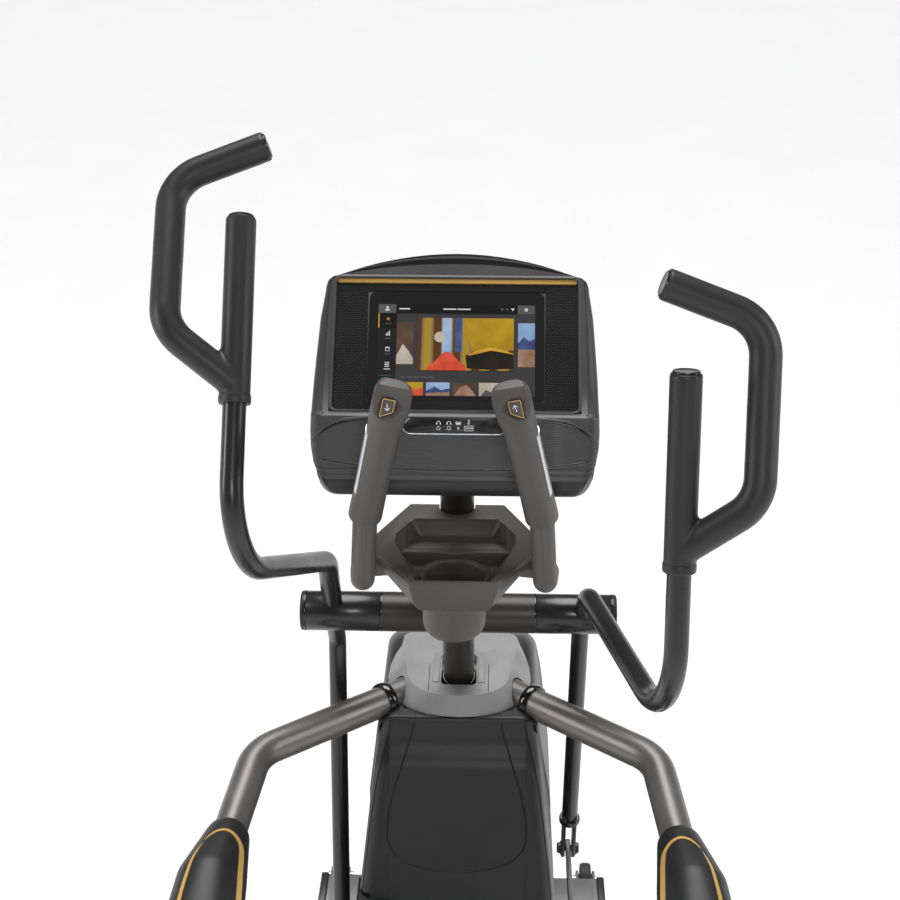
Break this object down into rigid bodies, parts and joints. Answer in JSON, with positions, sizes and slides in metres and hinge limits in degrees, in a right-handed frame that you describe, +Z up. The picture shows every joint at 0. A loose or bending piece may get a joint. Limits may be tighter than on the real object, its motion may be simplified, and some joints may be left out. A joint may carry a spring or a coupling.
{
  "type": "elliptical trainer",
  "caption": "Front-drive suspension elliptical trainer with swinging dual-action handlebars, hanging pedal arms, touch console and accessory tray.",
  "frame": {"origin": "floor, middle of the bounding box footprint", "axes": "+X to the user's right, +Y forward toward the console, +Z up"},
  "size_m": [0.8219, 1.656, 1.7441],
  "materials": {
    "black_powder_coat": "satin powder coat",
    "dark_powder_coat": "satin powder coat",
    "warm_grey_metallic": "fine metallic satin",
    "grey_powder_coat": "satin powder coat",
    "zinc_steel": "zinc plated",
    "sensor_steel": "brushed",
    "flywheel_iron": "machined and oiled",
    "grip_rubber": "moulded satin",
    "tyre_rubber": "matt",
    "mat_rubber": "ribbed matt",
    "belt_rubber": "ribbed",
    "shroud_plastic": "fine texture",
    "panel_plastic": "satin gloss",
    "cap_plastic": "smooth satin",
    "console_plastic": "satin metallic grey",
    "console_rear_plastic": "textured",
    "warm_grey_plastic": "fine metallic satin",
    "black_plastic": "satin",
    "gold_trim": "gold satin paint",
    "screen_glass": "polished black glass",
    "bronze_bushing": "oiled bronze"
  },
  "bodies": {
    "frame": {"main_frame": "dark_powder_coat", "front_stabilizer": "grey_powder_coat", "rear_stabilizer": "dark_powder_coat", "stabilizer_caps": "black_plastic", "wheel_bolts": "zinc_steel", "lower_mast": "warm_grey_metallic", "upper_mast": "warm_grey_metallic", "pivot_crossbar": "black_powder_coat", "pivot_axle": "zinc_steel", "pivot_bushings": "bronze_bushing", "axle_end_caps": "black_plastic", "left_suspension_arm": "warm_grey_metallic", "right_suspension_arm": "warm_grey_metallic", "arm_covers": "shroud_plastic", "cover_trims": "gold_trim", "swing_axles": "zinc_steel", "crank_bearings": "zinc_steel", "flywheel_axle": "tyre_rubber", "drive_belt": "belt_rubber", "left_shroud": "shroud_plastic", "right_shroud": "shroud_plastic", "rear_panel": "panel_plastic", "top_cap": "cap_plastic", "console_back": "console_rear_plastic", "console_front": "console_plastic", "screen": "screen_glass", "port_panel": "black_plastic", "accessory_tray": "warm_grey_plastic", "pulse_bar": "warm_grey_metallic", "pulse_grips": "warm_grey_plastic", "sensor_plates": "sensor_steel", "power_inlet": "black_plastic"},
    "left_handle": {"left_handlebar": "black_powder_coat", "left_grip": "grip_rubber", "left_clevis_pin": "zinc_steel"},
    "right_handle": {"right_handlebar": "black_powder_coat", "right_grip": "grip_rubber", "right_clevis_pin": "zinc_steel"},
    "left_connector": {"left_handle_link": "grey_powder_coat"},
    "right_connector": {"right_handle_link": "grey_powder_coat"},
    "left_swing": {"left_swing_arm": "warm_grey_metallic"},
    "right_swing": {"right_swing_arm": "warm_grey_metallic"},
    "left_step": {"left_foot_link": "black_powder_coat", "left_pedal": "black_plastic", "left_pedal_mat": "mat_rubber"},
    "right_step": {"right_foot_link": "black_powder_coat", "right_pedal": "black_plastic", "right_pedal_mat": "mat_rubber"},
    "crankset": {"crank_axle": "zinc_steel", "left_crank": "black_powder_coat", "right_crank": "black_powder_coat", "crank_pulley": "black_plastic"},
    "flywheel_unit": {"flywheel": "flywheel_iron"},
    "left_wheel": {"left_transport_wheel": "tyre_rubber"},
    "right_wheel": {"right_transport_wheel": "tyre_rubber"},
    "left_foot": {"left_levelling_foot": "tyre_rubber"},
    "right_foot": {"right_levelling_foot": "tyre_rubber"},
    "left_key": {"left_button": "black_plastic"},
    "right_key": {"right_button": "black_plastic"},
    "rocker": {"power_switch": "black_plastic"}
  },
  "joints": [
    {"name": "right_handle_swing", "type": "hinge", "parent": "frame", "child": "right_handle", "pos_m": [0.18, 0.34, 0.945], "axis": [1, 0, 0], "range_deg": [-30.9, 8.4]},
    {"name": "left_handle_swing", "type": "hinge", "parent": "frame", "child": "left_handle", "pos_m": [-0.18, 0.34, 0.945], "axis": [1, 0, 0], "range_deg": [-8.4, 30.9]},
    {"name": "right_arm_swing", "type": "hinge", "parent": "frame", "child": "right_swing", "pos_m": [0.35, -0.2, 0.7], "axis": [1, 0, 0], "range_deg": [-49.5, 13.5]},
    {"name": "left_arm_swing", "type": "hinge", "parent": "frame", "child": "left_swing", "pos_m": [-0.35, -0.2, 0.7], "axis": [1, 0, 0], "range_deg": [-13.5, 49.5]},
    {"name": "right_foot_tilt", "type": "hinge", "parent": "right_swing", "child": "right_step", "pos_m": [0.14, -0.06325, 0.29232], "axis": [1, 0, 0], "range_deg": [-9.7, 35.6]},
    {"name": "left_foot_tilt", "type": "hinge", "parent": "left_swing", "child": "left_step", "pos_m": [-0.14, -0.33112, 0.29048], "axis": [1, 0, 0], "range_deg": [-35.6, 9.7]},
    {"name": "right_link_turn", "type": "hinge", "parent": "right_handle", "child": "right_connector", "pos_m": [0.2, 0.57612, 0.30411], "axis": [1, 0, 0], "range_deg": [-7.7, 28]},
    {"name": "left_link_turn", "type": "hinge", "parent": "left_handle", "child": "left_connector", "pos_m": [-0.2, 0.3129, 0.26254], "axis": [1, 0, 0], "range_deg": [-28.5, 7.8]},
    {"name": "crank_spin", "type": "hinge", "parent": "frame", "child": "crankset", "pos_m": [0, 0.49, 0.33], "axis": [1, 0, 0], "continuous": true},
    {"name": "flywheel_spin", "type": "hinge", "parent": "frame", "child": "flywheel_unit", "pos_m": [0, 0.66, 0.19], "axis": [1, 0, 0], "continuous": true},
    {"name": "right_wheel_spin", "type": "hinge", "parent": "frame", "child": "right_wheel", "pos_m": [0.254, 0.794, 0.056], "axis": [1, 0, 0], "continuous": true},
    {"name": "left_wheel_spin", "type": "hinge", "parent": "frame", "child": "left_wheel", "pos_m": [-0.254, 0.794, 0.056], "axis": [1, 0, 0], "continuous": true},
    {"name": "right_foot_adjust", "type": "slide", "parent": "frame", "child": "right_foot", "axis": [0, 0, 1], "range_m": [0, 0.008]},
    {"name": "left_foot_adjust", "type": "slide", "parent": "frame", "child": "left_foot", "axis": [0, 0, 1], "range_m": [0, 0.008]},
    {"name": "right_button_press", "type": "slide", "parent": "frame", "child": "right_key", "axis": [0.0547, 0.9588, -0.2787], "range_m": [0, 0.0012], "stiffness_N_per_m": 900},
    {"name": "left_button_press", "type": "slide", "parent": "frame", "child": "left_key", "axis": [-0.0547, 0.9588, -0.2787], "range_m": [0, 0.0012], "stiffness_N_per_m": 900},
    {"name": "power_rocker", "type": "hinge", "parent": "frame", "child": "rocker", "pos_m": [0.0195, 0.805, 0.15], "axis": [1, 0, 0], "range_deg": [0, 16]}
  ],
  "couplings": [
    {"joint": "left_handle_swing", "follows": "right_handle_swing", "ratio": -1},
    {"joint": "right_arm_swing", "follows": "right_handle_swing", "ratio": 1.6},
    {"joint": "left_arm_swing", "follows": "right_handle_swing", "ratio": -1.6},
    {"joint": "right_foot_tilt", "follows": "right_handle_swing", "ratio": -1.15},
    {"joint": "left_foot_tilt", "follows": "right_handle_swing", "ratio": 1.15},
    {"joint": "right_link_turn", "follows": "right_handle_swing", "ratio": -0.905},
    {"joint": "left_link_turn", "follows": "right_handle_swing", "ratio": 0.92},
    {"joint": "flywheel_spin", "follows": "crank_spin", "ratio": 8.409}
  ]
}
